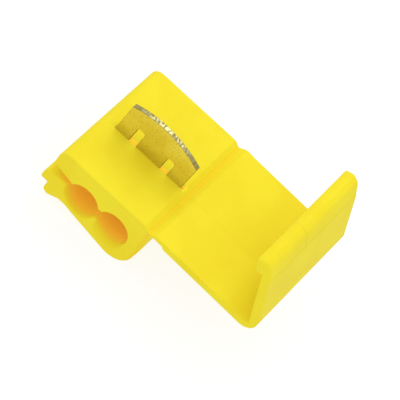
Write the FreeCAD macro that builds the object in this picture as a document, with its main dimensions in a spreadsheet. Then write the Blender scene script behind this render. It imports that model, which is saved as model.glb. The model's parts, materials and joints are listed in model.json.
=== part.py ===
import FreeCAD, Part
import os
import re
import Sketcher

# Quick splice connector for two insulated wires, modelled open, as it is moulded.
# All sizes are in millimetres and degrees.  The sheet's drawing frame has its X axis
# along the block's top face, with X = 0 at the bottom of the hinge groove, Z = 0 at the
# top face and Y = 0 at the middle of the wires.  Sizes that lie left of the groove or
# below the top face are written as positive distances.  Each body's Placement then
# carries the drawing frame to the part's own frame: origin at the middle of the base
# of the whole open part, +X from the block to the open cover, +Y along the wires, +Z up.

SIZES = (
    ("length", 26.0, "both channels, the cover and the lip, along the wires"),
    ("block_left", 19.42, "hinge groove to the block's left face, at the top"),
    ("edge_round", 1.9, "radius of the block's top left edge"),
    ("mouth_left", 19.6, "hinge groove to the outer corner of the side mouth"),
    ("mouth_drop", 4.03, "top face to that corner"),
    ("mouth_round", 0.5, "radius of that corner"),
    ("throat_left", 15.45, "hinge groove to the inner end of the mouth's upper face"),
    ("throat_drop", 5.18, "top face to the inner end of the mouth's upper face"),
    ("run_left", 12.14, "hinge groove to the axis of the run channel"),
    ("tap_left", 5.49, "hinge groove to the axis of the tap channel"),
    ("channel_drop", 6.76, "top face to both channel axes"),
    ("channel_radius", 3.24, "both channels"),
    ("stop_wall", 1.5, "wall that stops the tap wire at the far end"),
    ("flare", 1.2, "funnel round the lower half of each channel's near mouth"),
    ("cusp_drop", 5.4, "top face to the tip of the ridge between the channels"),
    ("ridge_drop", 7.9, "top face to the lower ridge between the channels"),
    ("wall_out", 0.36, "hinge groove to the right wall, at the channel axes"),
    ("wall_draft", 9.5, "lean of the right wall of the jaw"),
    ("corner_left", 4.08, "hinge groove to the lowest point of the jaw"),
    ("corner_radius", 4.07, "lower right corner of the jaw"),
    ("base_drop", 13.05, "top face to the lowest point of the jaw"),
    ("under_slope", 11.0, "slope of the jaw's straight underside"),
    ("hollow_right", 12.8, "hinge groove to the right end of the hollow underside"),
    ("hollow_right_drop", 11.43, "top face to the right end of the hollow"),
    ("hollow_left", 17.7, "hinge groove to the left end of the hollow underside"),
    ("hollow_left_drop", 11.76, "top face to the left end of the hollow"),
    ("hollow_radius", 6.2, "hollow underside"),
    ("bump_left", 18.84, "hinge groove to the wall of the catch bump"),
    ("bump_drop", 11.95, "top face to the bottom of the catch bump"),
    ("bump_round", 0.5, "radius under the catch bump"),
    ("step_drop", 9.33, "top face to the step above the catch bump"),
    ("tip_left", 20.33, "hinge groove to the jaw's tip"),
    ("tip_drop", 8.6, "top face to the widest point of the jaw's tip"),
    ("tip_round", 0.3, "radii of the jaw's tip"),
    ("tip_top_left", 19.95, "hinge groove to the upper corner of the jaw's tip"),
    ("tip_top_drop", 6.82, "top face to the upper corner of the jaw's tip"),
    ("jaw_in_left", 17.0, "hinge groove to the bend in the jaw's upper face"),
    ("jaw_in_drop", 6.57, "top face to the bend in the jaw's upper face"),
    ("groove_left", 1.26, "hinge groove, half width on the block"),
    ("groove_right", 1.33, "hinge groove, half width on the cover"),
    ("groove_depth", 0.95, "hinge groove"),
    ("hinge_out", 0.66, "groove bottom to the line the cover folds about"),
    ("hinge_seam", 0.06, "gap between the block and the folding strip"),
    ("strip_drop", 0.95, "top face to the underside of the folding strip"),
    ("strip_right", 2.8, "hinge groove to the end of the folding strip"),
    ("plate_right", 3.42, "hinge groove to where the cover has its full thickness"),
    ("plate_thick", 1.49, "cover plate"),
    ("droop", 1.81, "how far the open cover hangs below level"),
    ("lip_right", 22.85, "hinge groove to the outside of the bend"),
    ("bend_radius", 2.6, "outside of the bend between cover and lip"),
    ("lean", 17.07, "how far the lip leans in over the cover"),
    ("lip_thick", 1.52, "latch lip"),
    ("lip_step_up", 9.94, "end of the bend to the small step outside the lip"),
    ("lip_step", 0.1, "depth of that step"),
    ("hook_under_up", 11.22, "end of the bend to the underside of the hook"),
    ("hook_reach", 1.62, "how far the hook stands in from the lip"),
    ("hook_top_up", 13.87, "end of the bend to the top of the hook"),
    ("hook_nose", 1.5, "radius of the hook's outer nose"),
    ("hook_round", 0.35, "radii of the hook's inner corners"),
    ("contact_left", 9.11, "hinge groove to the middle of the contact"),
    ("contact_front", 2.41, "middle of the wires forward to the contact's near face"),
    ("contact_thick", 0.95, "contact sheet"),
    ("contact_width", 14.58, "contact"),
    ("contact_tilt", 4.22, "how far the unpressed contact leans in its slot"),
    ("contact_side", 6.83, "top face to the contact's top corners"),
    ("contact_peak", 8.58, "top face to the middle of the contact's arch"),
    ("contact_grip", 1.7, "depth of the contact's legs in the block"),
    ("contact_pitch", 6.86, "between the two wire slots"),
    ("contact_shift", 0.09, "wire slots' middle, left of the contact's middle"),
    ("contact_slot", 1.6, "width of a wire slot"),
    ("contact_slot_up", 3.91, "top face to the closed end of a wire slot"),
    ("contact_lead", 0.45, "lead-in at the open end of a wire slot"),
    ("contact_corner", 0.5, "chamfer at the foot of the contact"),
    ("travel", 8.6, "how far the contact is pressed in"),
    ("slot_side", 0.1, "clearance beside the contact, in its width"),
    ("slot_face", 0.06, "clearance on each face of the contact"),
    ("jaw_slot_gap", 0.3, "clearance round the contact's feet in the jaw"),
    ("jaw_slot_swing", 0.8, "more of it on the left, for when the jaw swings down"),
)

doc = FreeCAD.newDocument("quick_splice")
sheet = doc.addObject("Spreadsheet::Sheet", "Sizes")
for row, (alias, number, meaning) in enumerate(SIZES, start=1):
    sheet.set(f"A{row}", alias)
    sheet.set(f"B{row}", str(number))
    sheet.setAlias(f"B{row}", alias)
    sheet.set(f"C{row}", meaning)
doc.recompute()


def named(text):
    """Turn the sheet's plain words in an expression into references to its cells."""
    return re.sub(r"\b(?!sin\b|cos\b)([a-z_]+)\b", r"Sizes.\1", text)


def value(text):
    """Work out an expression on the sheet's words."""
    return float(sheet.evalExpression(named(text)))


def bind(owner, prop, text):
    owner.setExpression(prop, named(text))


# ---- drawing helpers -------------------------------------------------------------------

def new_body(label):
    body = doc.addObject("PartDesign::Body", label)
    body.Label = label
    return body


def attach(feature, body, offset):
    """Put a sketch or a primitive on the body's XZ plane, moved along +Y by offset."""
    plane = next(f for f in body.Origin.OriginFeatures if f.Role == "XZ_Plane")
    feature.AttachmentSupport = [(plane, "")]
    feature.MapMode = "FlatFace"
    bind(feature, "AttachmentOffset.Base.z", f"0 - ( {offset} )")


def new_sketch(body, name, offset="0"):
    sketch = body.newObject("Sketcher::SketchObject", name)
    attach(sketch, body, offset)
    return sketch


def arc_between(start, end, radius, side):
    """An arc from start to end with its centre to the left (side 1) or right (side -1)."""
    chord = end - start
    middle = (start + end) * 0.5
    left = FreeCAD.Vector(-chord.y, chord.x, 0).normalize()
    centre = middle + left * (side * (radius ** 2 - (chord.Length / 2) ** 2) ** 0.5)
    circle = Part.Circle(centre, FreeCAD.Vector(0, 0, 1), radius)
    if side > 0:
        return Part.ArcOfCircle(circle, circle.parameter(start), circle.parameter(end))
    return Part.ArcOfCircle(circle, circle.parameter(end), circle.parameter(start))


def draw_outline(sketch, corners):
    """Draw a closed outline.  A corner is (x, z), or (x, z, radius, side) if an arc
    with that radius, its centre on that side, leads to the next corner."""
    points = [FreeCAD.Vector(value(c[0]), value(c[1]), 0) for c in corners]
    first = len(sketch.Geometry)
    count = len(corners)
    ends = []
    for i, corner in enumerate(corners):
        start, end = points[i], points[(i + 1) % count]
        if len(corner) == 2:
            sketch.addGeometry(Part.LineSegment(start, end))
            ends.append((1, 2))
            continue
        radius, side = corner[2], corner[3]
        index = sketch.addGeometry(arc_between(start, end, value(radius), side))
        ends.append((1, 2) if side > 0 else (2, 1))
        constraint = sketch.addConstraint(Sketcher.Constraint("Radius", index, value(radius)))
        bind(sketch, f"Constraints[{constraint}]", radius)
    for i, corner in enumerate(corners):
        here, after = first + i, first + (i + 1) % count
        sketch.addConstraint(Sketcher.Constraint(
            "Coincident", here, ends[i][1], after, ends[(i + 1) % count][0]))
        for kind, text, number in (("DistanceX", corner[0], points[i].x),
                                   ("DistanceY", corner[1], points[i].y)):
            constraint = sketch.addConstraint(
                Sketcher.Constraint(kind, -1, 1, here, ends[i][0], number))
            bind(sketch, f"Constraints[{constraint}]", text)


def draw_circle(sketch, x, z, radius):
    centre = FreeCAD.Vector(value(x), value(z), 0)
    index = sketch.addGeometry(Part.Circle(centre, FreeCAD.Vector(0, 0, 1), value(radius)))
    for kind, text in (("DistanceX", x), ("DistanceY", z)):
        constraint = sketch.addConstraint(
            Sketcher.Constraint(kind, -1, 1, index, 3, value(text)))
        bind(sketch, f"Constraints[{constraint}]", text)
    constraint = sketch.addConstraint(Sketcher.Constraint("Radius", index, value(radius)))
    bind(sketch, f"Constraints[{constraint}]", radius)


def pad(body, sketch, length, side="Symmetric"):
    """Pad to both sides of the sketch, or from it towards +Y."""
    feature = body.newObject("PartDesign::Pad", sketch.Name + "_pad")
    feature.Profile = sketch
    feature.SideType = side
    feature.Reversed = side == "One side"
    bind(feature, "Length", length)
    doc.recompute()
    return feature


def pocket(body, sketch, length, side="Symmetric"):
    """Cut to both sides of the sketch, or from it towards +Y."""
    before = body.Shape.Volume
    feature = body.newObject("PartDesign::Pocket", sketch.Name + "_pocket")
    feature.Profile = sketch
    feature.SideType = side
    bind(feature, "Length", length)
    doc.recompute()
    if not feature.Shape.Volume < before - 0.01:
        raise RuntimeError(f"{feature.Name} cuts nothing")
    return feature


def round_edges(body, places, radius, kind="Fillet"):
    """Fillet or chamfer the body's edges that run along Y through these (x, z) places."""
    wanted = [(value(x), value(z)) for x, z in places]
    names = []
    for number, edge in enumerate(body.Tip.Shape.Edges, start=1):
        ends = [vertex.Point for vertex in edge.Vertexes]
        for x, z in wanted:
            if all(abs(p.x - x) < 0.01 and abs(p.z - z) < 0.01 for p in ends):
                names.append(f"Edge{number}")
    if not names:
        raise RuntimeError(f"{body.Label}: no edge at {wanted}")
    base = body.Tip
    feature = body.newObject("PartDesign::" + kind, f"{body.Name}_{kind}_{len(body.Group)}")
    feature.Base = (base, names)
    bind(feature, "Radius" if kind == "Fillet" else "Size", radius)
    doc.recompute()


def place(body, x, y, z, turn):
    """Put a body in the part's own frame, turned about Y."""
    body.Placement = FreeCAD.Placement(
        FreeCAD.Vector(1, 1, 1), FreeCAD.Rotation(FreeCAD.Vector(0, 1, 0), 5))
    bind(body, "Placement.Base.x", x)
    bind(body, "Placement.Base.y", y)
    bind(body, "Placement.Base.z", z)
    bind(body, "Placement.Rotation.Angle", turn)
    doc.recompute()


# ---- places that several pieces share --------------------------------------------------

# centre of the bend between cover and lip, and the point where the lip leaves the bend
BEND_X = "( lip_right - bend_radius )"
BEND_Z = "( bend_radius - plate_thick )"
LIP_X = f"( {BEND_X} + bend_radius * cos(lean) )"
LIP_Z = f"( {BEND_Z} + bend_radius * sin(lean) )"

# cover and lip meet in the middle of the bend, from its outer face to its inner corner
HALF_BEND = "( 45 + lean / 2 )"
CORNER_RUN = f"( ( bend_radius - lip_thick + {BEND_Z} * sin(lean) ) / cos(lean) )"

# the drawing frame's place in the part's own frame
RIGHT_END = f"( {BEND_X} * cos(droop) + {BEND_Z} * sin(droop) + bend_radius )"
FRAME_X = f"( ( tip_left - {RIGHT_END} ) / 2 )"
FRAME_Z = "base_drop"

# the groove's right flank at the fold line, on the block's side and on the strip's side
FLANK_BLOCK = "( groove_depth * ( hinge_out / groove_right - 1 ) )"
STRIP_LEFT = "( hinge_out + hinge_seam )"
FLANK_STRIP = f"( groove_depth * ( {STRIP_LEFT} / groove_right - 1 ) )"

# the outline of block and jaw runs inside the channels, where the channels cut it away
RUN_INNER = "( 0 - run_left - channel_radius / 2 )"
RUN_OUTER = "( channel_radius / 2 - run_left )"
TAP_INNER = "( 0 - tap_left - channel_radius * 0.85 )"
TAP_SPLIT = "( 0 - tap_left - channel_radius * 0.65 )"
SPLIT_Z = "( 0 - channel_drop )"

# the leaning contact sweeps this span while it is pressed straight down
SLOT_LEFT = ("( 0 - contact_left - contact_width / 2 * cos(contact_tilt)"
             " - contact_grip * sin(contact_tilt) - slot_side )")
SLOT_RIGHT = ("( contact_width / 2 * cos(contact_tilt) - contact_left"
              " + contact_side * sin(contact_tilt) + slot_side )")
CONTACT_MIDDLE = "( contact_thick / 2 - contact_front )"


def cut_channels(body):
    """Cut the run channel right through, and the tap channel as far as its stop wall."""
    for side, start, length, ends in (
            ("run_left", "0", "length * 2", "Symmetric"),
            ("tap_left", "0 - length / 2", "length - stop_wall", "One side")):
        circle = new_sketch(body, f"{body.Name}_{side}", start)
        draw_circle(circle, f"0 - {side}", SPLIT_Z, "channel_radius")
        pocket(body, circle, length, ends)


# ---- block -----------------------------------------------------------------------------

def make_housing():
    """The upper half of both channels, with the contact's slot through its top wall."""
    body = new_body("housing")
    outline = new_sketch(body, "housing_outline")
    draw_outline(outline, (
        ("0 - mouth_left", "0 - mouth_drop"),
        ("0 - throat_left", "0 - throat_drop"),
        (RUN_INNER, "0 - cusp_drop"),
        (RUN_OUTER, "0 - cusp_drop"),
        (TAP_INNER, "0 - cusp_drop"),
        (TAP_SPLIT, SPLIT_Z),
        ("wall_out", SPLIT_Z),
        ("hinge_out", "0 - strip_drop"),
        ("hinge_out", FLANK_BLOCK),
        ("0", "0 - groove_depth"),
        ("0 - groove_left", "0"),
        ("0 - block_left", "0")))
    pad(body, outline, "length")
    round_edges(body, [("0 - block_left", "0")], "edge_round")
    round_edges(body, [("0 - mouth_left", "0 - mouth_drop")], "mouth_round")
    cut_channels(body)
    slot = new_sketch(body, "housing_slot", CONTACT_MIDDLE)
    draw_outline(slot, (
        (SLOT_LEFT, "0 - base_drop"),
        (SLOT_RIGHT, "0 - base_drop"),
        (SLOT_RIGHT, "contact_thick"),
        (SLOT_LEFT, "contact_thick")))
    pocket(body, slot, "contact_thick + 2 * slot_face")
    place(body, FRAME_X, "0", FRAME_Z, "0")
    return body


def make_lower_jaw():
    """The lower half of both channels, which bends down about the right wall."""
    body = new_body("lower_jaw")
    outline = new_sketch(body, "jaw_outline")
    draw_outline(outline, (
        ("0 - tip_top_left", "0 - tip_top_drop"),
        ("0 - tip_left", "0 - tip_drop"),
        ("0 - tip_left", "0 - step_drop"),
        ("0 - bump_left", "0 - step_drop"),
        ("0 - bump_left", "0 - bump_drop"),
        ("0 - hollow_left - bump_round", "0 - bump_drop"),
        ("0 - hollow_left", "0 - hollow_left_drop", "hollow_radius", -1),
        ("0 - hollow_right", "0 - hollow_right_drop"),
        ("0 - corner_left - corner_radius * sin(under_slope)",
         "corner_radius - base_drop - corner_radius * cos(under_slope)",
         "corner_radius", 1),
        ("corner_radius * cos(wall_draft) - corner_left",
         "corner_radius - base_drop - corner_radius * sin(wall_draft)"),
        ("wall_out", SPLIT_Z),
        (TAP_SPLIT, SPLIT_Z),
        (TAP_INNER, "0 - ridge_drop"),
        (RUN_OUTER, "0 - ridge_drop"),
        (RUN_INNER, "0 - jaw_in_drop"),
        ("0 - jaw_in_left", "0 - jaw_in_drop")))
    pad(body, outline, "length")
    round_edges(body, [("0 - bump_left", "0 - bump_drop")], "bump_round")
    round_edges(body, [("0 - tip_left", "0 - step_drop"),
                       ("0 - tip_left", "0 - tip_drop"),
                       ("0 - tip_top_left", "0 - tip_top_drop")], "tip_round")
    cut_channels(body)
    for side in ("run_left", "tap_left"):
        before = body.Shape.Volume
        funnel = body.newObject("PartDesign::SubtractiveCone", "jaw_funnel_" + side)
        bind(funnel, "Radius1", "channel_radius")
        bind(funnel, "Radius2", "channel_radius + flare")
        bind(funnel, "Height", "flare")
        # the cone stands on the XZ plane, whose normal points to the near end
        attach(funnel, body, "flare - length / 2")
        bind(funnel, "AttachmentOffset.Base.x", f"0 - {side}")
        bind(funnel, "AttachmentOffset.Base.y", SPLIT_Z)
        doc.recompute()
        if not body.Shape.Volume < before - 0.01:
            raise RuntimeError(f"{funnel.Name} cuts nothing")
    foot = "contact_grip + travel + jaw_slot_gap"
    lean = "contact_width / 2 * sin(contact_tilt)"
    feet = new_sketch(body, "jaw_slot", CONTACT_MIDDLE)
    draw_outline(feet, (
        (f"{SLOT_LEFT} - jaw_slot_gap - jaw_slot_swing", f"{lean} - ( {foot} )"),
        (f"{SLOT_RIGHT} + jaw_slot_gap", f"0 - {lean} - ( {foot} )"),
        (f"{SLOT_RIGHT} + jaw_slot_gap", "0"),
        (f"{SLOT_LEFT} - jaw_slot_gap - jaw_slot_swing", "0")))
    pocket(body, feet, "contact_thick + 2 * jaw_slot_gap")
    place(body, FRAME_X, "0", FRAME_Z, "0")
    return body


# ---- cover -----------------------------------------------------------------------------

def make_hinge_strip():
    """The thin strip beside the groove, which folds with the cover."""
    body = new_body("hinge_strip")
    outline = new_sketch(body, "strip_outline")
    draw_outline(outline, (
        (STRIP_LEFT, "0 - strip_drop"),
        ("strip_right", "0 - strip_drop"),
        ("strip_right", "0"),
        ("groove_right", "0"),
        (STRIP_LEFT, FLANK_STRIP)))
    pad(body, outline, "length")
    place(body, FRAME_X, "0", FRAME_Z, "droop")
    return body


def make_cover_plate():
    """The flat cover with the bend at its end."""
    body = new_body("cover_plate")
    outline = new_sketch(body, "plate_outline")
    draw_outline(outline, (
        ("strip_right", "0 - strip_drop"),
        ("plate_right", "0 - plate_thick"),
        (BEND_X, "0 - plate_thick", "bend_radius", 1),
        (f"{BEND_X} + bend_radius * sin( {HALF_BEND} )",
         f"{BEND_Z} - bend_radius * cos( {HALF_BEND} )"),
        (f"{BEND_X} + {CORNER_RUN}", "0"),
        ("strip_right", "0")))
    pad(body, outline, "length")
    place(body, FRAME_X, "0", FRAME_Z, "droop")
    return body


def make_latch_lip():
    """The lip that hooks under the jaw, drawn upright, with Z = 0 at the end of the bend."""
    body = new_body("latch_lip")
    outline = new_sketch(body, "lip_outline")
    nose_low = "hook_top_up - hook_nose"
    draw_outline(outline, (
        (f"bend_radius * ( cos( {HALF_BEND} ) - 1 )", f"0 - bend_radius * sin( {HALF_BEND} )",
         "bend_radius", 1),
        ("0", "0"),
        ("0", "lip_step_up"),
        ("0 - lip_step", "lip_step_up + lip_step"),
        ("0 - lip_step", nose_low, "hook_nose", 1),
        ("0 - lip_step - hook_nose", "hook_top_up"),
        ("0 - lip_thick - hook_reach", "hook_top_up - lip_step"),
        ("0 - lip_thick - hook_reach", "hook_under_up"),
        ("0 - lip_thick", "hook_under_up"),
        ("0 - lip_thick", f"0 - {CORNER_RUN} * sin(lean) - {BEND_Z} * cos(lean)")))
    pad(body, outline, "length")
    round_edges(body, [("0 - lip_thick - hook_reach", "hook_top_up - lip_step"),
                       ("0 - lip_thick - hook_reach", "hook_under_up")], "hook_round")
    place(body,
          f"{FRAME_X} + {LIP_X} * cos(droop) + {LIP_Z} * sin(droop)", "0",
          f"{FRAME_Z} - {LIP_X} * sin(droop) + {LIP_Z} * cos(droop)",
          "droop - lean")
    return body


# ---- contact ---------------------------------------------------------------------------

def make_contact():
    """The sheet metal contact: an arched plate with two wire slots open at its foot."""
    body = new_body("contact")
    outline = new_sketch(body, "contact_outline")
    arch_rise = "( contact_peak - contact_side )"
    arch = f"( ( contact_width ^ 2 / 4 + {arch_rise} ^ 2 ) / ( 2 * {arch_rise} ) )"
    half = "contact_width / 2"
    draw_outline(outline, (
        (f"0 - {half}", "0 - contact_grip"),
        (half, "0 - contact_grip"),
        (half, "contact_side", arch, 1),
        (f"0 - {half}", "contact_side")))
    pad(body, outline, "contact_thick", "One side")
    round_edges(body, [(half, "0 - contact_grip"), (f"0 - {half}", "0 - contact_grip")],
                "contact_corner", "Chamfer")
    for name, side in (("run", "0 - contact_pitch / 2"), ("tap", "contact_pitch / 2")):
        middle = f"{side} - contact_shift"
        slot = new_sketch(body, f"contact_{name}_slot")
        draw_outline(slot, (
            (f"{middle} - contact_slot / 2 - contact_lead", "0 - contact_grip"),
            (f"{middle} + contact_slot / 2 + contact_lead", "0 - contact_grip"),
            (f"{middle} + contact_slot / 2", "contact_lead * 2 - contact_grip"),
            (f"{middle} + contact_slot / 2", "contact_slot_up - contact_slot / 2",
             "contact_slot / 2 + 0.001", 1),
            (f"{middle} - contact_slot / 2", "contact_slot_up - contact_slot / 2"),
            (f"{middle} - contact_slot / 2", "contact_lead * 2 - contact_grip")))
        pocket(body, slot, "contact_thick * 3")
    place(body, f"{FRAME_X} - contact_left", "0 - contact_front", FRAME_Z, "contact_tilt")
    return body


# ---- build, check and write ------------------------------------------------------------

pieces = [make_housing(), make_lower_jaw(), make_hinge_strip(), make_cover_plate(),
          make_latch_lip(), make_contact()]
doc.recompute()

for item in doc.Objects:
    if "Invalid" in item.State or "Error" in item.State:
        raise RuntimeError(f"{item.Label} did not build: {item.State}")
for piece in pieces:
    if piece.Shape.isNull() or not piece.Shape.isValid():
        raise RuntimeError(f"{piece.Label} has no valid shape")
    if len(piece.Shape.Solids) != 1:
        raise RuntimeError(f"{piece.Label} is {len(piece.Shape.Solids)} solids, not one")

os.makedirs("parts", exist_ok=True)
for piece in pieces:
    piece.Shape.exportStep(f"parts/{piece.Label}.step")
    print(f"{piece.Label}: {piece.Shape.Volume:.1f} mm3, {piece.Shape.BoundBox}")
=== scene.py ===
import json
import math

import bmesh
import bpy
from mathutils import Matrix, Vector


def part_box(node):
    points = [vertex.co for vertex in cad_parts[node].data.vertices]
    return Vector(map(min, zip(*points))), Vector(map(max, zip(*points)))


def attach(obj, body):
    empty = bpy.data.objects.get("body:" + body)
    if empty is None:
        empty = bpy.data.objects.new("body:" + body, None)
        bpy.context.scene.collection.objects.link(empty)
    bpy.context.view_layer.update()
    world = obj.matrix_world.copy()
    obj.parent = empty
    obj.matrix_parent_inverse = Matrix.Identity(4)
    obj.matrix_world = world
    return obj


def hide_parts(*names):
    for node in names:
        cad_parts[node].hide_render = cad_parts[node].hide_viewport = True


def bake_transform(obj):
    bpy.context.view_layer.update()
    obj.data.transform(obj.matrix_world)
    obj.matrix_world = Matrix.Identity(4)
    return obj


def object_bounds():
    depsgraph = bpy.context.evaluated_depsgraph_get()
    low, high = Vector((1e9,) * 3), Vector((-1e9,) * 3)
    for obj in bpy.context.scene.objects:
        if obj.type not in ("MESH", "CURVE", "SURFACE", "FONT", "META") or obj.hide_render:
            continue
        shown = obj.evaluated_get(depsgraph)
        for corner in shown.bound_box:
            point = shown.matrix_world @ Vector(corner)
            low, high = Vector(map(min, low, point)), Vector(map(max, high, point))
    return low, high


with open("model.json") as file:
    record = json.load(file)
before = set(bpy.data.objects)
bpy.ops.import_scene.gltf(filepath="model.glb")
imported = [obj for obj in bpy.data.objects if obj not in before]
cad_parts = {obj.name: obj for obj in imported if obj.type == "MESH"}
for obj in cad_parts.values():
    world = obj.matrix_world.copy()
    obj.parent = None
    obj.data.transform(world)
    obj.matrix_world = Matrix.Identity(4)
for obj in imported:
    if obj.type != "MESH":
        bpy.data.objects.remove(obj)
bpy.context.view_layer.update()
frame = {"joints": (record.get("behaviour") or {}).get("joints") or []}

# Quick splice connector: one yellow polypropylene moulding and one pressed metal contact.
# Sizes are in millimetres and degrees in the drawing frame of a section across the wires:
# x runs to the right from the bottom of the hinge groove, z up from the block's top face.
# The moulding is lofted along the wires from such sections, and put in place at the end.

MM = 0.001

joints = {joint["name"]: joint for joint in frame["joints"]}
HINGE = Vector(joints["cover_hinge"]["pos_m"]) / MM
block_low, block_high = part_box("housing")

# ---- sizes ------------------------------------------------------------------------------

HINGE_OUT = 0.66            # groove bottom to the line that the cover folds about
FRAME_X = HINGE.x - HINGE_OUT
FRAME_Z = block_high.z / MM
NEAR_Y = block_low.y / MM
FAR_Y = block_high.y / MM

CHANNEL_RADIUS = 3.24
RUN = (-12.14, -6.76)       # axis of the channel for the unbroken wire
TAP = (-5.49, -6.76)        # axis of the channel for the cut wire
RIDGE_Z = -7.9              # lower ridge between the channels
RIDGE_HALF = 0.2            # half its width at the least
FLARE_DEPTH = 3.0           # how far in the mouths' lower halves widen
RUN_FLARE = 0.8
TAP_FLARE = 1.6
STOP_WALL = 1.2
STOP_RECESS = 0.3
STOP_BITE = 0.1             # how far the stop wall reaches into the channel's wall
STOP_END = 0.1              # radius round its two faces

GROOVE_LEFT = -1.26
GROOVE_DEPTH = 0.95
GROOVE_RIGHT = 1.33
WEB_START = 0.95            # where the folding strip leaves the block
WEB_BENT = 2.3              # beyond this the strip follows the cover
WEB_END = 2.8
WEB_UNDER = -0.95
WEB_SOFT = 0.1              # how softly the strip's upper face bends out of the groove

DROOP = math.radians(1.81)  # how far the open cover hangs below level
PLATE_THICK = 1.49
PLATE_FULL = 3.42           # where the cover has its full thickness
LIP_RIGHT = 22.85
BEND_RADIUS = 2.6
LEAN = math.radians(17.07)  # how far the lip leans in over the cover
LIP_THICK = 1.52
HOOK_END = 1.0              # radius of the hook's top at the near end
OUTER_END = 0.95            # radius of the lip's outer face at the near end

SOFT_END = 0.3              # radius round the end faces of block and jaw
THIN_END = 0.2              # radius round the ends of the groove and the cover
FINE_END = 0.06             # radius round the ends of the folding strip
CRISP_END = 0.14            # radius of the crisp upper arches
MOUTH_END = 0.6             # radius of the jaw's upper face at the near end

SLOT_GAP = 0.02             # between the contact and its slot in the block
SLOT_SIDE = 0.1             # beyond the contact's two sides
SLOT_FLOOR = -6.5           # where the block's part of the slot ends
JAW_SLOT_GAP = 0.3          # between the pressed contact and its slot in the jaw
JAW_SLOT_SWING = 0.8        # more room at the left, for when the jaw is open
JAW_SLOT_FLOOR = -9.85
SLOT_OVERLAP = 0.2          # how far the two parts of the slot run into each other
CONTACT_X = -9.11           # middle of the contact
CONTACT_NEAR = -2.41        # its near face
CONTACT_THICK = 0.95
CONTACT_WIDTH = 14.58
CONTACT_TILT = math.radians(4.22)
CONTACT_FOOT = -1.7
CONTACT_SIDE = 6.83
CONTACT_PEAK = 8.58
CONTACT_RISE = CONTACT_PEAK - CONTACT_SIDE
CONTACT_ARCH = ((CONTACT_WIDTH / 2) ** 2 + CONTACT_RISE ** 2) / (2 * CONTACT_RISE)
WIRE_SLOT = 1.6
WIRE_SLOT_TOP = 3.91
WIRE_SLOT_PITCH = 6.86
WIRE_SLOT_SHIFT = -0.09
WIRE_SLOT_ROUND = 0.6       # radius of its top corners
RIM = 0.13                  # width of the band of shade painted along the rolled rim of the contact's face

# Depths behind an end face at which a skin has a section, and the spaces between the ends.
END_STATIONS = (0.0, 0.03, 0.1, 0.2, 0.35, 0.55, 0.85, 1.2, 1.6, 2.0, 2.5, 3.0)
MIDDLE_SPACES = 7
GENTLE_TURN = 0.57          # sine of the angle up to which a turn isn't a corner


# ---- sections ---------------------------------------------------------------------------
# An outline is a list of (x, z, near, far): near and far are the radii that round the edge
# from that point to the next where it meets the near and the far end face.

def soften(corners, steps=5):
    """Round an outline's corners.  A corner is (x, z, radius, near, far)."""
    outline = []
    for i, (x, z, radius, near, far) in enumerate(corners):
        here = Vector((x, z))
        before = Vector(corners[i - 1][:2]) - here
        after = Vector(corners[(i + 1) % len(corners)][:2]) - here
        if radius == 0:
            outline.append((x, z, near, far))
            continue
        half = before.angle(after) / 2
        cut = min(radius / math.tan(half), 0.49 * before.length, 0.49 * after.length)
        true_radius = cut * math.tan(half)
        first = here + before.normalized() * cut
        last = here + after.normalized() * cut
        towards = before.normalized() + after.normalized()
        centre = here + towards.normalized() * (true_radius / math.sin(half))
        near_before, far_before = corners[i - 1][3:5]
        for step in range(steps + 1):
            share = step / steps
            arm = (first - centre).normalized().slerp((last - centre).normalized(), share)
            point = centre + arm * true_radius
            mixed = (near_before + (near - near_before) * share,
                     far_before + (far - far_before) * share)
            outline.append((point.x, point.y, *(mixed if step < steps else (near, far))))
    return outline


def rounding(radius, depth):
    """How far a rounded end edge stands back at this depth behind the end face."""
    if depth >= radius:
        return 0.0
    return radius - math.sqrt(radius ** 2 - (radius - depth) ** 2)


def drawn_in(outline, near_depth, far_depth):
    """The outline as it is at a station near an end face, drawn in by the end rounding."""
    count = len(outline)
    points = [Vector(p[:2]) for p in outline]
    back = [max(rounding(p[2], near_depth), rounding(p[3], far_depth)) for p in outline]
    normals = []
    for i in range(count):
        along = (points[(i + 1) % count] - points[i]).normalized()
        normals.append(Vector((along.y, -along.x)))
    # At a gentle turn a point moves along the mean normal, and at a corner to where the two
    # moved edges cross.
    moved = []
    for i in range(count):
        n0, n1 = normals[i - 1], normals[i]
        d0, d1 = back[i - 1], back[i]
        turn = n0.x * n1.y - n0.y * n1.x
        if abs(turn) < GENTLE_TURN and n0.dot(n1) > 0:
            moved.append(points[i] - (n0 + n1).normalized() * (d0 + d1) / 2)
        else:
            shift = Vector((d0 * n1.y - d1 * n0.y, d1 * n0.x - d0 * n1.x)) / turn
            moved.append(points[i] - shift)
    return moved


def arc(centre, radius, first, last, steps):
    """Points (x, z) along an arc from one angle to another, in degrees."""
    for step in range(steps + 1):
        angle = math.radians(first + (last - first) * step / steps)
        yield centre[0] + radius * math.cos(angle), centre[1] + radius * math.sin(angle)


def smooth(share):
    """Eases a share in and out between 0 and 1, and holds it at the ends."""
    share = min(1.0, max(0.0, share))
    return share * share * (3 - 2 * share)


def stations():
    """Places along the wires: close together at the ends, where the mouths widen."""
    near = [NEAR_Y + depth for depth in END_STATIONS]
    far = [FAR_Y - depth for depth in reversed(END_STATIONS)]
    middle = far[0] - near[-1]
    between = [near[-1] + middle * k / MIDDLE_SPACES for k in range(1, MIDDLE_SPACES)]
    return near + between + far


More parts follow.
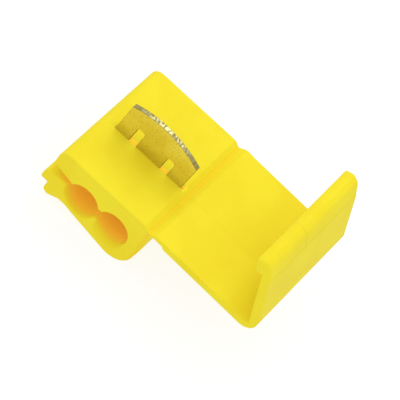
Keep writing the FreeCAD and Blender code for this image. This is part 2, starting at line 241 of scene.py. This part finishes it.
def loft(name, section, places, banded=False):
    """A closed mesh through the sections at these places along the wires.  The end faces of a
    banded section, whose first half runs along one side and its second back, are quads."""
    mesh = bmesh.new()
    rings = []
    for y in places:
        rings.append([mesh.verts.new((x, y, z)) for x, z in section(y)])
    count = len(rings[0])
    for ring, following in zip(rings, rings[1:]):
        for i in range(count):
            j = (i + 1) % count
            mesh.faces.new((ring[i], ring[j], following[j], following[i]))
    for ring in (rings[0], rings[-1]):
        if banded:
            for i in range(count // 2 - 1):
                mesh.faces.new((ring[i], ring[i + 1], ring[count - 2 - i], ring[count - 1 - i]))
        else:
            mesh.faces.new(ring)
    bmesh.ops.recalc_face_normals(mesh, faces=mesh.faces)
    data = bpy.data.meshes.new(name)
    mesh.to_mesh(data)
    mesh.free()
    piece = bpy.data.objects.new(name, data)
    bpy.context.scene.collection.objects.link(piece)
    return piece


def to_frame(piece):
    """Carry a finished mesh from the drawing frame to the row frame, in metres."""
    for vertex in piece.data.vertices:
        x, y, z = vertex.co
        vertex.co = ((x + FRAME_X) * MM, y * MM, (z + FRAME_Z) * MM)


def shaded(piece, material, sharp_from=33):
    """Smooth shading that keeps the flat faces flat and the crisp edges crisp."""
    piece.data.materials.append(material)
    piece.data.polygons.foreach_set("use_smooth", [True] * len(piece.data.polygons))
    piece.data.set_sharp_from_angle(angle=math.radians(sharp_from))
    weighted = piece.modifiers.new("weighted", "WEIGHTED_NORMAL")
    weighted.keep_sharp = True


def plain_box(low, high, fall=0.0):
    """A box for cutting, in the drawing frame.  Its underside falls to the right."""
    mesh = bmesh.new()
    bmesh.ops.create_cube(mesh, size=1)
    for vertex in mesh.verts:
        below, right = vertex.co.z < 0, vertex.co.x > 0
        vertex.co = [low[k] + (high[k] - low[k]) * (vertex.co[k] + 0.5) for k in range(3)]
        vertex.co.z -= fall if below and right else 0.0
    data = bpy.data.meshes.new("cutter")
    mesh.to_mesh(data)
    mesh.free()
    cutter = bpy.data.objects.new("cutter", data)
    bpy.context.scene.collection.objects.link(cutter)
    return cutter


def cut(piece, cutter):
    """Cut one mesh out of another for good."""
    modifier = piece.modifiers.new("cut", "BOOLEAN")
    modifier.operation = "DIFFERENCE"
    modifier.solver = "EXACT"
    modifier.object = cutter
    result = bpy.data.meshes.new_from_object(
        piece.evaluated_get(bpy.context.evaluated_depsgraph_get()))
    piece.modifiers.clear()
    piece.data = result
    bpy.data.objects.remove(cutter)


# ---- block and jaw ----------------------------------------------------------------------

def mouth_radius(angle, flare, inner_side, depth):
    """Radius of a channel's lower half, widened at its mouth except near the ridge and,
    in the tap channel, near the right wall."""
    from_right = smooth((-angle - 15) / 55)
    from_left = 1.0 if inner_side > 0 else smooth((180 + angle - 12) / 50)
    share = from_right * from_left
    widest = CRISP_END + (flare - CRISP_END) * share
    reach = CRISP_END + (FLARE_DEPTH - CRISP_END) * share
    if depth >= reach:
        return CHANNEL_RADIUS
    return CHANNEL_RADIUS + widest * (1 - math.sqrt(1 - (1 - depth / reach) ** 2))


def lower_arc(axis, flare, depth, steps, outer_angle, inner_side):
    """A channel's lower half, from its outer side to the ridge between the channels."""
    def point(angle):
        radius = mouth_radius(angle, flare, inner_side, depth)
        return (axis[0] + radius * math.cos(math.radians(angle)),
                axis[1] + radius * math.sin(math.radians(angle)))

    ridge_x = (RUN[0] + TAP[0]) / 2 - inner_side * RIDGE_HALF
    down = math.degrees(math.asin((TAP[1] - RIDGE_Z) / CHANNEL_RADIUS))
    # A widened arc would reach past the ridge, so it ends lower down.
    while (ridge_x - point(-down if inner_side > 0 else down - 180)[0]) * inner_side < 0:
        down += 0.5
    inner_angle = -down if inner_side > 0 else down - 180
    return [point(outer_angle + (inner_angle - outer_angle) * step / steps)
            for step in range(steps + 1)]


def body_corners(near_depth, far_depth):
    """The section of block and jaw: a C that is open at the side mouth."""
    end = (SOFT_END, SOFT_END)
    thin = (THIN_END, THIN_END)
    fine = (FINE_END, FINE_END)
    crisp = (CRISP_END, CRISP_END)
    none = (0.0, 0.0)
    corners = [
        (WEB_START, -GROOVE_DEPTH * (1 - WEB_START / GROOVE_RIGHT), 0, *fine),
        (0.0, -GROOVE_DEPTH, 0.3, *thin),
        (GROOVE_LEFT, 0.0, 0.4, *end),
        (-19.42, 0.0, 1.9, *end),
        (-19.6, -4.03, 0.5, *end),
        (-17.97, -4.5, 1.5, *end),
        (-15.2, -5.22, 0.0, *crisp)]
    corners += [(x, z, 0.0, *crisp) for x, z in arc(RUN, CHANNEL_RADIUS, 151, 25, 18)]
    corners += [(x, z, 0.0, *crisp) for x, z in arc(TAP, CHANNEL_RADIUS, 155, 0, 22)]

    tap_points = lower_arc(TAP, TAP_FLARE, near_depth, 26, -6, -1)
    run_points = lower_arc(RUN, RUN_FLARE, min(near_depth, far_depth), 26, -183.4, 1)
    ridge_x = (RUN[0] + TAP[0]) / 2
    corners += [(x, z, 0.0, *none) for x, z in tap_points]
    corners += [(ridge_x + RIDGE_HALF / 2, tap_points[-1][1] + 0.05, 0.0, *none),
                (ridge_x - RIDGE_HALF / 2, run_points[-1][1] + 0.05, 0.0, *none)]
    corners += [(x, z, 0.0, *none) for x, z in reversed(run_points[1:])]
    drop = rounding(MOUTH_END, near_depth)
    corners += [(run_points[0][0], run_points[0][1] - drop, 0.0, *none)]

    corners += [
        (-17.0, -6.57 - drop, 0.0, *none),
        (-18.9, -6.77 - drop, 0.0, *none),
        (-19.75, -6.82 - drop * 0.9, 0.7, *end),
        (-20.33, -8.2, 1.0, *end),
        (-20.33, -9.5, 0.42, *end),
        (-18.8, -9.5, 0.3, *end)]
    corners += [(x, z, 0.0, *end) for x, z in arc((-17.92, -11.1), 1.02, 155, 296, 12)]
    corners += [(x, z, 0.0, *end) for x, z in arc((-14.98, -17.24), 6.2, 98, 69.4, 9)]
    corners += [(x, z, 0.0, *end) for x, z in arc((-4.08, -8.98), 4.07, -101, -9.5, 22)]
    corners += [
        (0.36, -6.76, 3.0, *end),
        (HINGE_OUT - 0.02, WEB_UNDER, 0.25, *fine),
        (WEB_START, WEB_UNDER, 0.0, *none)]
    return corners


def make_body(material):
    """Block and jaw are one skin, joined by the right wall, where the real moulding bends."""
    def section(y):
        near_depth, far_depth = y - NEAR_Y, FAR_Y - y
        outline = soften(body_corners(near_depth, far_depth))
        return drawn_in(outline, near_depth, far_depth)

    body = loft("block_and_jaw", section, stations())
    middle = CONTACT_NEAR + CONTACT_THICK / 2
    half = CONTACT_WIDTH / 2 * math.cos(CONTACT_TILT)
    left = CONTACT_X - half + CONTACT_FOOT * math.sin(CONTACT_TILT) - SLOT_SIDE
    right = CONTACT_X + half + CONTACT_SIDE * math.sin(CONTACT_TILT) + SLOT_SIDE
    slope = (right - left) * math.tan(CONTACT_TILT)
    in_block = (SLOT_GAP, 0.0, SLOT_FLOOR, 1.0, 0.0)
    in_jaw = (JAW_SLOT_GAP, JAW_SLOT_SWING, JAW_SLOT_FLOOR, SLOT_FLOOR + SLOT_OVERLAP, slope)
    for gap, swing, bottom, top, fall in (in_block, in_jaw):
        thick = CONTACT_THICK / 2 + gap
        cut(body, plain_box((left - swing - gap, middle - thick, bottom),
                            (right + gap, middle + thick, top), fall))
    to_frame(body)
    shaded(body, material)
    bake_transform(body)
    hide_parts("housing", "lower_jaw")


def make_stop(name, body_name, first, last, material):
    """One half of the wall that closes the tap channel at its far end."""
    radius = CHANNEL_RADIUS + STOP_BITE
    outline = [(x, z, STOP_END, STOP_END) for x, z in arc(TAP, radius, first, last, 24)]
    low, high = FAR_Y - STOP_RECESS - STOP_WALL, FAR_Y - STOP_RECESS

    def section(y):
        return drawn_in(outline, y - low, high - y)

    stop = loft(name, section, (low, low + 0.03, low + 0.1, high - 0.1, high - 0.03, high))
    to_frame(stop)
    shaded(stop, material)
    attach(stop, body_name)


# ---- cover ------------------------------------------------------------------------------

def drooped(x, z, angle):
    """A point turned clockwise about the drawing frame's origin."""
    return (x * math.cos(angle) + z * math.sin(angle),
            z * math.cos(angle) - x * math.sin(angle))


def web_top(x):
    """Upper face of the strip: the groove's flank, then level, with a soft bend between."""
    flank = GROOVE_DEPTH * (x / GROOVE_RIGHT - 1)
    return (flank - math.sqrt(flank ** 2 + WEB_SOFT ** 2)) / 2


def make_web(material, steps=24):
    """The thin strip at the groove; on the real moulding it rolls up as the cover folds over."""
    across = [WEB_START + (WEB_END - WEB_START) * k / steps for k in range(steps + 1)]
    outline = [(x, WEB_UNDER) for x in across] + [(x, web_top(x)) for x in reversed(across)]
    bent = []
    for i, (x, z) in enumerate(outline):
        angle = DROOP * smooth((x - WEB_START) / (WEB_BENT - WEB_START))
        end = 0.0 if i % (steps + 1) == steps else FINE_END
        bent.append((*drooped(x, z, angle), end, end))

    def section(y):
        return drawn_in(bent, y - NEAR_Y, FAR_Y - y)

    web = loft("hinge_web", section, stations(), banded=True)
    to_frame(web)
    shaded(web, material)
    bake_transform(web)
    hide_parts("hinge_strip")


def lip_point(out, up):
    """A point of the lip: out from its outer face, up from the end of the bend."""
    x = LIP_RIGHT - BEND_RADIUS + BEND_RADIUS * math.cos(LEAN)
    z = BEND_RADIUS - PLATE_THICK + BEND_RADIUS * math.sin(LEAN)
    return (x + out * math.cos(LEAN) - up * math.sin(LEAN),
            z + out * math.sin(LEAN) + up * math.cos(LEAN))


def cover_corners(near_depth):
    """The section of cover plate and latch lip, whose hook is rounded at the near end."""
    end = (THIN_END, THIN_END)
    outer = (OUTER_END, THIN_END)
    bend_x = LIP_RIGHT - BEND_RADIUS
    bend_z = BEND_RADIUS - PLATE_THICK
    inside = (BEND_RADIUS - LIP_THICK + bend_z * math.sin(LEAN)) / math.cos(LEAN)
    drop = rounding(HOOK_END, near_depth)
    corners = [
        (WEB_END, WEB_UNDER, 0, *end),
        (PLATE_FULL, -PLATE_THICK, 0.3, *end)]
    corners += [(x, z, 0, *end) for x, z in
                arc((bend_x, bend_z), BEND_RADIUS, -90, math.degrees(LEAN), 16)]
    lip = [
        (0.0, 9.85, 0, outer),
        (-0.1, 10.05, 0, outer),
        (-0.23, 11.78 - drop * 0.3, 3.0, outer),
        (-0.54, 13.02 - drop * 0.6, 1.2, outer),
        (-1.44, 13.87 - drop, 0.7, end),
        (-2.12, 13.87 - drop, 1.0, end),
        (-3.14 + drop * 0.7, 13.67 - drop, 0.46, end),
        (-3.16 + drop * 0.5, 12.7 - drop * 0.5, 0.5, end),
        (-2.86, 11.25, 0.35, end),
        (-LIP_THICK, 11.2, 0.25, end)]
    corners += [(*lip_point(out, up), radius, *ends) for out, up, radius, ends in lip]
    corners += [(bend_x + inside, 0.0, 0.55, *end), (WEB_END, 0.0, 0, 0.0, 0.0)]
    return corners


def make_cover(material):
    """Cover plate and latch lip are one skin; the real moulding flexes in the bend between them.
    """
    def section(y):
        near_depth = y - NEAR_Y
        outline = [(*drooped(x, z, DROOP), near, far)
                   for x, z, near, far in soften(cover_corners(near_depth))]
        return drawn_in(outline, near_depth, FAR_Y - y)

    cover = loft("cover_and_lip", section, stations())
    to_frame(cover)
    shaded(cover, material)

    def in_frame(x, z):
        x, z = drooped(x, z, DROOP)
        return Vector((x + FRAME_X, 0, z + FRAME_Z)) * MM

    in_frame(LIP_RIGHT - BEND_RADIUS, -PLATE_THICK)
    in_frame(*lip_point(0, 0))
    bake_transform(cover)
    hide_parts("cover_plate", "latch_lip")


# ---- contact ----------------------------------------------------------------------------

def make_contact(face, edge):
    """The pressed contact: an arched plate with two wire slots open at its foot."""
    half = CONTACT_WIDTH / 2
    roll = (0.07, 0.03)
    spread = math.degrees(math.asin(half / CONTACT_ARCH))
    steps = 40
    corners = [(-half, CONTACT_FOOT, 0.4, *roll)]
    for side in (-1, 1):
        middle = side * WIRE_SLOT_PITCH / 2 + WIRE_SLOT_SHIFT
        left, right = middle - WIRE_SLOT / 2, middle + WIRE_SLOT / 2
        corners += [
            (left - 0.45, CONTACT_FOOT, 0.1, *roll),
            (left, CONTACT_FOOT + 0.9, 0.3, *roll),
            (left, WIRE_SLOT_TOP, WIRE_SLOT_ROUND, *roll),
            (right, WIRE_SLOT_TOP, WIRE_SLOT_ROUND, *roll),
            (right, CONTACT_FOOT + 0.9, 0.3, *roll),
            (right + 0.45, CONTACT_FOOT, 0.1, *roll)]
    corners += [(half, CONTACT_FOOT, 0.4, *roll)]
    top = arc((0, CONTACT_PEAK - CONTACT_ARCH), CONTACT_ARCH, 90 - spread, 90 + spread, steps)
    corners += [(x, z, 0.12 if k in (0, steps) else 0, *roll) for k, (x, z) in enumerate(top)]
    outline = []
    for x, z, near, far in soften(corners):
        x, z = drooped(x, z, CONTACT_TILT)
        outline.append((x + CONTACT_X, z, near, far))
    back = CONTACT_NEAR + CONTACT_THICK

    def section(y):
        return drawn_in(outline, y - CONTACT_NEAR, back - y)

    places = (CONTACT_NEAR, CONTACT_NEAR + 0.02, CONTACT_NEAR + 0.07, CONTACT_NEAR + 0.4,
              back - 0.03, back)
    contact = loft("contact_blade", section, places)
    to_frame(contact)
    shaded(contact, face, 30)
    contact.data.materials.append(edge)
    for polygon in contact.data.polygons:
        if abs(polygon.normal.y) < 0.8:
            polygon.material_index = 1
    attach(contact, "contact")
    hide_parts("contact")


# ---- finishes ---------------------------------------------------------------------------

YELLOW = (0.85, 0.70, 0.026)
PALE_YELLOW = (0.87, 0.74, 0.031)
SHADE_AMBER = (0.88, 0.54, 0.03)              # painted shade: the orange of the yellow plastic in its shaded hollows
# painted shade at the bottom of the hinge groove
GROOVE_SHADE_AMBER = (0.86, 0.54, 0.02)
SEAM_BROWN = (0.66, 0.48, 0.03)
SCRATCH_BROWN = (0.58, 0.46, 0.04)
SPECK_BROWN = (0.22, 0.17, 0.04)
# painted light: an amber glow inside the channels and the throat
AMBER_GLOW = (0.11, 0.066, 0.011)
# painted light: the glow on the upper walls of the contact's slot, more orange deeper down
SLOT_GLOW = (0.34, 0.29, 0.025)
DEEP_SLOT_GLOW = (0.38, 0.22, 0.03)

BRASS = (0.80, 0.67, 0.095)
PALE_BRASS = (0.88, 0.77, 0.14)
ROLLED_BRASS = (0.66, 0.50, 0.045)
# painted shade towards the contact's foot
FOOT_SHADE_BRASS = (0.50, 0.40, 0.05)
PIT_BROWN = (0.22, 0.17, 0.03)
# painted shade along the rim of the contact's face
RIM_SHADE_BROWN = (0.24, 0.17, 0.03)
# the edge's torn grain, painted in shade off the arch and with a painted highlight on its top
TORN_SHADE = (0.30, 0.25, 0.08)
TORN_HIGHLIGHT = (0.76, 0.70, 0.34)
TORN_ROLLED = (0.26, 0.21, 0.06)


class Value:
    """A shader socket that takes part in Python arithmetic through Math nodes."""

    def __init__(self, finish, socket):
        self.finish = finish
        self.socket = socket

    def maths(self, operation, *inputs):
        """The result of a new Math node."""
        node = self.finish.node("ShaderNodeMath", {"operation": operation},
                                dict(enumerate(inputs)))
        return Value(self.finish, node.outputs[0])

    def __add__(self, other):
        return self.maths("ADD", self, other)

    __radd__ = __add__

    def __sub__(self, other):
        return self.maths("SUBTRACT", self, other)

    def __rsub__(self, other):
        return self.maths("SUBTRACT", other, self)

    def __mul__(self, other):
        return self.maths("MULTIPLY", self, other)

    __rmul__ = __mul__

    def __pow__(self, other):
        return self.maths("POWER", self, other)

    def __abs__(self):
        return self.maths("ABSOLUTE", self)

    def at_least(self, low):
        return self.maths("MAXIMUM", self, low)

    def rising(self, low, high):
        """0 below low, 1 above high, smooth between; falling if low is the higher."""
        node = self.finish.node(
            "ShaderNodeMapRange", {"interpolation_type": "SMOOTHSTEP"},
            {"Value": self, "From Min": min(low, high), "From Max": max(low, high),
             "To Min": 0.0 if low < high else 1.0, "To Max": 1.0 if low < high else 0.0})
        return Value(self.finish, node.outputs[0])


class Finish:
    """A material made of nodes around one Principled shader."""

    def __init__(self, name, **constants):
        self.material = bpy.data.materials.new(name)
        self.material.use_nodes = True
        self.tree = self.material.node_tree
        self.shader = self.tree.nodes["Principled BSDF"]
        for socket, number in constants.items():
            self.shader.inputs[socket.replace("_", " ")].default_value = number

    def node(self, kind, settings, inputs):
        """A new node; an input is given as a number, a vector, a socket or a Value."""
        node = self.tree.nodes.new(kind)
        for key, setting in settings.items():
            setattr(node, key, setting)
        for key, given in inputs.items():
            if isinstance(given, Value):
                given = given.socket
            if isinstance(given, bpy.types.NodeSocket):
                self.tree.links.new(given, node.inputs[key])
            else:
                node.inputs[key].default_value = given
        return node

    def out(self, kind, settings, inputs, output=0):
        """One output of a new node."""
        return Value(self, self.node(kind, settings, inputs).outputs[output])

    def millimetres(self):
        """Object coordinates in millimetres, and their x, y and z."""
        place = self.node("ShaderNodeTexCoord", {}, {}).outputs["Object"]
        scaled = self.node("ShaderNodeVectorMath", {"operation": "SCALE"},
                           {0: place, "Scale": 1 / MM}).outputs[0]
        split = self.node("ShaderNodeSeparateXYZ", {}, {0: scaled})
        return scaled, *(Value(self, socket) for socket in split.outputs)

    def noise(self, place, scale, detail=2.0, stretch=(1, 1, 1)):
        """Noise over the object; a stretch below 1 draws it out along that axis."""
        mapped = self.node("ShaderNodeMapping", {}, {"Vector": place, "Scale": stretch})
        return self.out("ShaderNodeTexNoise", {}, {
            "Vector": mapped.outputs[0], "Scale": scale, "Detail": detail})

    def mix(self, factor, one, two):
        """The first colour where the factor is 0, and the second where it is 1."""
        node = self.node("ShaderNodeMix", {"data_type": "RGBA"}, {0: factor})
        for key, colour in ((6, one), (7, two)):
            if isinstance(colour, Value):
                self.tree.links.new(colour.socket, node.inputs[key])
            else:
                node.inputs[key].default_value = (*colour, 1.0)
        return Value(self, node.outputs[2])

    def bump(self, height):
        """A normal from a height in millimetres."""
        return self.out("ShaderNodeBump", {}, {
            "Height": height * MM, "Distance": 1.0, "Strength": 1.0})

    def feed(self, socket, value):
        """Link a value to an input of the Principled shader."""
        self.tree.links.new(value.socket, self.shader.inputs[socket])


def channel_shade(x, y, z, axis):
    """1 deep inside a channel, where orange shade is painted, and 0 outside it."""
    across = x - (axis[0] + FRAME_X)
    down = z - (axis[1] + FRAME_Z)
    radius = (across * across + down * down) ** 0.5
    inside = radius.rising(CHANNEL_RADIUS + 1.0, CHANNEL_RADIUS + 0.1)
    mouth = radius.rising(CHANNEL_RADIUS + 1.6, CHANNEL_RADIUS + 0.1) * down.rising(1.0, -1.0)
    from_near = inside * y.rising(NEAR_Y, NEAR_Y + 2.8)
    on_funnel = mouth * y.rising(NEAR_Y + 0.02, NEAR_Y + 0.8) * 0.4
    return (from_near + on_funnel).rising(0.0, 1.2) * y.rising(FAR_Y - 0.1, FAR_Y - 2.2)


def throat_shade(x, y, z):
    """1 on the narrow part of the side mouth, just before the run channel, where orange shade is
    painted.
    """
    along = x.rising(FRAME_X - 18.6, FRAME_X - 16.2) * x.rising(FRAME_X - 14.0, FRAME_X - 15.0)
    tall = z.rising(FRAME_Z - 7.6, FRAME_Z - 7.0) * z.rising(FRAME_Z - 4.3, FRAME_Z - 4.6)
    return along * tall * y.rising(NEAR_Y + 0.15, NEAR_Y + 0.9)


def slot_glow_mask(x, y, z):
    """1 on the upper walls of the slot that the contact stands in, where a glow is painted."""
    middle_y = CONTACT_NEAR + CONTACT_THICK / 2
    across = abs(y - middle_y).rising(CONTACT_THICK * 0.75, CONTACT_THICK * 0.62)
    along = abs(x - (CONTACT_X + FRAME_X)).rising(CONTACT_WIDTH * 0.56, CONTACT_WIDTH * 0.54)
    upper = z.rising(FRAME_Z - 4.3, FRAME_Z - 3.5) * z.rising(FRAME_Z, FRAME_Z - 0.05)
    return across * along * upper


def lip_places(x, z):
    """Places on the lip: out from its outer face, and up from the end of the bend."""
    corner = drooped(*lip_point(0, 0), DROOP)
    across = x - (corner[0] + FRAME_X)
    up = z - (corner[1] + FRAME_Z)
    lean = LEAN - DROOP
    return (across * math.cos(lean) + up * math.sin(lean),
            up * math.cos(lean) - across * math.sin(lean))


def lip_scratch(x, y, z):
    """1 along a short scratch in the lip's outer face."""
    out, up = lip_places(x, z)
    off_line = abs(y - (up - 10.0) * 0.38 + 2.3)
    along = up.rising(9.9, 10.3) * up.rising(12.7, 12.3)
    return off_line.rising(0.08, 0.02) * along * out.rising(-1.3, -1.0)


def lip_speck(finish, place):
    """1 on one dark speck low on the lip's outer face."""
    corner = drooped(*lip_point(0, 1.9), DROOP)
    centre = Vector((corner[0] + FRAME_X, -1.0, corner[1] + FRAME_Z))
    distance = finish.out("ShaderNodeVectorMath", {"operation": "DISTANCE"},
                          {0: place, 1: centre}, "Value")
    return distance.rising(0.17, 0.10)


def moulding():
    """Yellow polypropylene: satin, slightly uneven, with fine parting lines; orange shade and
    glows are painted into its hollows.
    """
    finish = Finish("yellow_polypropylene", IOR=1.49, Specular_IOR_Level=0.03)
    place, x, y, z = finish.millimetres()
    clouds = finish.noise(place, 0.13, 3.0)
    grain = finish.noise(place, 9.0, 3.0)
    flow = finish.noise(place, 0.5, 2.0, (1.0, 0.25, 1.0))

    yellow = finish.mix(clouds.rising(0.35, 0.65), YELLOW, PALE_YELLOW)
    # Painted shade: the channels and the side mouth's throat are tinted orange, as shaded yellow
    # plastic looks.
    painted_shade = channel_shade(x, y, z, RUN) + channel_shade(x, y, z, TAP)
    painted_shade = (painted_shade + throat_shade(x, y, z)).rising(0.0, 1.0)
    # Painted shade: the bottom of the hinge groove is tinted orange.
    groove_shade = abs(x - FRAME_X).rising(0.8, 0.1) * z.rising(FRAME_Z - 0.3, FRAME_Z - 0.9)
    colour = finish.mix(painted_shade, yellow, SHADE_AMBER)
    colour = finish.mix(groove_shade * 0.35, colour, GROOVE_SHADE_AMBER)

    seam = abs(y - (CONTACT_NEAR + 0.1)).rising(0.07, 0.02)
    seam = seam * z.rising(FRAME_Z - 1.6, FRAME_Z - 0.5)
    seam = seam * (z.rising(FRAME_Z + 8, FRAME_Z + 12) * 0.6 + 0.4)
    speck = 0.75 * lip_speck(finish, place)
    colour = finish.mix(seam * 0.55, colour, SEAM_BROWN)
    colour = finish.mix(lip_scratch(x, y, z) * 0.5, colour, SCRATCH_BROWN)
    colour = finish.mix(speck, colour, SPECK_BROWN)
    finish.feed("Base Color", colour)

    finish.shader.inputs["Emission Strength"].default_value = 1.0
    # Painted light: the channels and the throat glow amber where the shade is painted.
    glow = finish.mix(painted_shade, (0.0, 0.0, 0.0), AMBER_GLOW)
    # Painted light: the upper walls of the contact's slot glow, more orange deeper down.
    deep = z.rising(FRAME_Z, FRAME_Z - 1.3)
    slot_glow = finish.mix(deep, SLOT_GLOW, DEEP_SLOT_GLOW)
    finish.feed("Emission Color", finish.mix(slot_glow_mask(x, y, z), glow, slot_glow))

    uneven = flow * 0.5 + clouds
    height = uneven * 0.02 + grain * 0.0022 - seam * 0.02
    finish.feed("Normal", finish.bump(height))
    finish.feed("Roughness", clouds * 0.16 + grain * 0.06 + 0.36)
    return finish.material


def along_contact(x, z):
    """Places on the leaning contact: across it from its middle, and up it."""
    across = x - (CONTACT_X + FRAME_X)
    up = z - FRAME_Z
    return (across * math.cos(CONTACT_TILT) - up * math.sin(CONTACT_TILT),
            across * math.sin(CONTACT_TILT) + up * math.cos(CONTACT_TILT))


def contact_rim_shade(x, z):
    """1 on the rolled rim of the contact's face, along its slots, its sides and its arch, where
    shade is painted.
    """
    across, up = along_contact(x, z)
    from_slot = abs(abs(across - WIRE_SLOT_SHIFT) - WIRE_SLOT_PITCH / 2)
    beside = (from_slot - (WIRE_SLOT / 2 - WIRE_SLOT_ROUND)).at_least(0)
    above = (up - (WIRE_SLOT_TOP - WIRE_SLOT_ROUND)).at_least(0)
    gap = (beside * beside + above * above) ** 0.5 - WIRE_SLOT_ROUND
    below = up - (CONTACT_PEAK - CONTACT_ARCH)
    from_middle = (across * across + below * below) ** 0.5
    side = abs(across).rising(CONTACT_WIDTH / 2 - RIM, CONTACT_WIDTH / 2)
    top = from_middle.rising(CONTACT_ARCH - RIM, CONTACT_ARCH)
    return (gap.rising(RIM, 0.0) + top + side).rising(0.0, 1.0)


def contact_face():
    """Dull rolled brass with pits, stains and faint rolling lines, with shade painted towards its
    foot and along its rim.
    """
    finish = Finish("contact_sheet", Metallic=0.85)
    place, x, _, z = finish.millimetres()
    stains = finish.noise(place, 0.28, 3.0)
    rolling = finish.noise(place, 2.2, 2.0, (0.25, 1.0, 3.0))
    speckle = finish.noise(place, 4.2, 1.0)
    pits = speckle.rising(0.665, 0.70)
    base = finish.mix(stains.rising(0.3, 0.7), BRASS, PALE_BRASS)
    base = finish.mix(rolling.rising(0.4, 0.75) * 0.25, base, ROLLED_BRASS)
    # Painted shade: the contact darkens towards its foot, by the block's top.
    low = z.rising(FRAME_Z + 3.2, FRAME_Z + 0.2)
    base = finish.mix(low * 0.4, base, FOOT_SHADE_BRASS)
    base = finish.mix(pits * 0.8, base, PIT_BROWN)
    # Painted shade: a darker band along the slots, sides and arch.
    base = finish.mix(contact_rim_shade(x, z) * 0.65, base, RIM_SHADE_BROWN)
    finish.feed("Base Color", base)
    finish.feed("Roughness", stains * 0.15 + rolling * 0.12 + 0.34 + pits * 0.2)
    finish.feed("Normal", finish.bump(rolling * 0.004 - pits * 0.03))
    return finish.material


def contact_edge():
    """The sheared edge, torn: a highlight is painted along the top of the arch, brightest in its
    middle and browner at its ends, and the other edges are painted in shade.
    """
    finish = Finish("sheared_edge", Metallic=0.8)
    place, x, y, z = finish.millimetres()
    tears = finish.noise(place, 2.6, 4.0, (1.0, 0.5, 1.0))
    fine = finish.noise(place, 9.0, 2.0, (1.0, 0.3, 1.0))
    # Painted highlight: the top of the arch, brightest in its middle; the sides and slot walls
    # stay dark, painted shade.
    middle = abs(x - (CONTACT_X + FRAME_X + 0.6)).rising(6.6, 2.5)
    on_arch = z.rising(FRAME_Z + 5.0, FRAME_Z + 6.0)
    torn_highlight = tears.rising(0.36, 0.60) * (middle * 0.8 + 0.2) * on_arch
    base = finish.mix(torn_highlight, TORN_SHADE, TORN_HIGHLIGHT)
    rolled = abs(y - (CONTACT_NEAR + CONTACT_THICK / 2)).rising(0.28, CONTACT_THICK / 2)
    base = finish.mix(rolled * 0.75, base, TORN_ROLLED)
    finish.feed("Base Color", base)
    finish.feed("Roughness", 0.6 - torn_highlight * 0.2 + fine * 0.1)
    finish.feed("Normal", finish.bump(tears * 0.04 + fine * 0.02))
    return finish.material


# ---- studio -----------------------------------------------------------------------------
# Places and lengths are in metres here.

SKY_AT_HORIZON = 0.60
SKY_OVERHEAD = 1.17
FLOOR_REACH = 2.0
FLOOR_GLOW = 0.82
LIGHT_AIM = (0, 0, 0.01)
LIGHT_SIZE = 0.30

CAMERA_AIM = Vector((0.000397, 0.0, 0.011098))
CAMERA_DISTANCE = 0.4301
CAMERA_LENS = 234.8                     # in millimetres, as its sensor's width
CAMERA_SENSOR = 36.0
CAMERA_AZIMUTH = math.radians(7.55)
CAMERA_ELEVATION = math.radians(52.32)
CAMERA_ROLL = math.radians(36.72)


def area_light(name, place, watts):
    """A soft round light aimed at the object."""
    data = bpy.data.lights.new(name, "AREA")
    data.shape = "DISK"
    data.size = LIGHT_SIZE
    data.energy = watts
    light = bpy.data.objects.new(name, data)
    light.location = place
    light.rotation_euler = (Vector(LIGHT_AIM) - Vector(place)).to_track_quat("-Z", "Y").to_euler()
    bpy.context.scene.collection.objects.link(light)


def make_sky():
    """Soft light from all round, stronger from above."""
    world = bpy.data.worlds.new("studio")
    world.use_nodes = True
    nodes, links = world.node_tree.nodes, world.node_tree.links
    direction = nodes.new("ShaderNodeTexCoord")
    split = nodes.new("ShaderNodeSeparateXYZ")
    strength = nodes.new("ShaderNodeMapRange")
    strength.inputs["To Min"].default_value = SKY_AT_HORIZON
    strength.inputs["To Max"].default_value = SKY_OVERHEAD
    links.new(direction.outputs["Generated"], split.inputs[0])
    links.new(split.outputs["Z"], strength.inputs["Value"])
    background = nodes["Background"]
    background.inputs["Color"].default_value = (1, 1, 1, 1)
    links.new(strength.outputs[0], background.inputs["Strength"])
    bpy.context.scene.world = world


def make_studio():
    """A plain pale floor under soft light."""
    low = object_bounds()[0]
    mesh = bpy.data.meshes.new("floor")
    reach = FLOOR_REACH
    mesh.from_pydata([(-reach, -reach, low.z), (reach, -reach, low.z),
                      (reach, reach, low.z), (-reach, reach, low.z)], [], [(0, 1, 2, 3)])
    floor = bpy.data.objects.new("floor", mesh)
    bpy.context.scene.collection.objects.link(floor)
    paper = Finish("pale_floor", Roughness=0.9, Specular_IOR_Level=0.0,
                   Emission_Strength=FLOOR_GLOW)
    paper.shader.inputs["Base Color"].default_value = (0.2, 0.2, 0.2, 1)
    paper.shader.inputs["Emission Color"].default_value = (1, 1, 1, 1)
    floor.data.materials.append(paper.material)

    make_sky()
    area_light("key", (-0.05, 0.24, 0.34), 0.32)
    area_light("fill", (0.10, -0.30, 0.25), 0.04)


def make_camera():
    """Looks down on the near end, from a little to the right, and is rolled."""
    level = math.cos(CAMERA_ELEVATION)
    back = Vector((math.sin(CAMERA_AZIMUTH) * level, -math.cos(CAMERA_AZIMUTH) * level,
                   math.sin(CAMERA_ELEVATION)))
    data = bpy.data.cameras.new("camera")
    data.sensor_width = CAMERA_SENSOR
    data.lens = CAMERA_LENS
    data.clip_start = 0.01
    data.clip_end = 10.0
    camera = bpy.data.objects.new("camera", data)
    camera.location = CAMERA_AIM + back * CAMERA_DISTANCE
    camera.rotation_euler = (-back).to_track_quat("-Z", "Y").to_euler()
    camera.rotation_euler.rotate_axis("Z", CAMERA_ROLL)
    bpy.context.scene.collection.objects.link(camera)
    bpy.context.scene.camera = camera


# ---- assembly ---------------------------------------------------------------------------

yellow = moulding()
make_body(yellow)
make_stop("stop_wall_upper", "block", 0, 180, yellow)
make_stop("stop_wall_lower", "jaw", 180, 360, yellow)
make_web(yellow)
make_cover(yellow)
make_contact(contact_face(), contact_edge())
make_studio()
make_camera()
bpy.context.scene.view_settings.view_transform = "Standard"
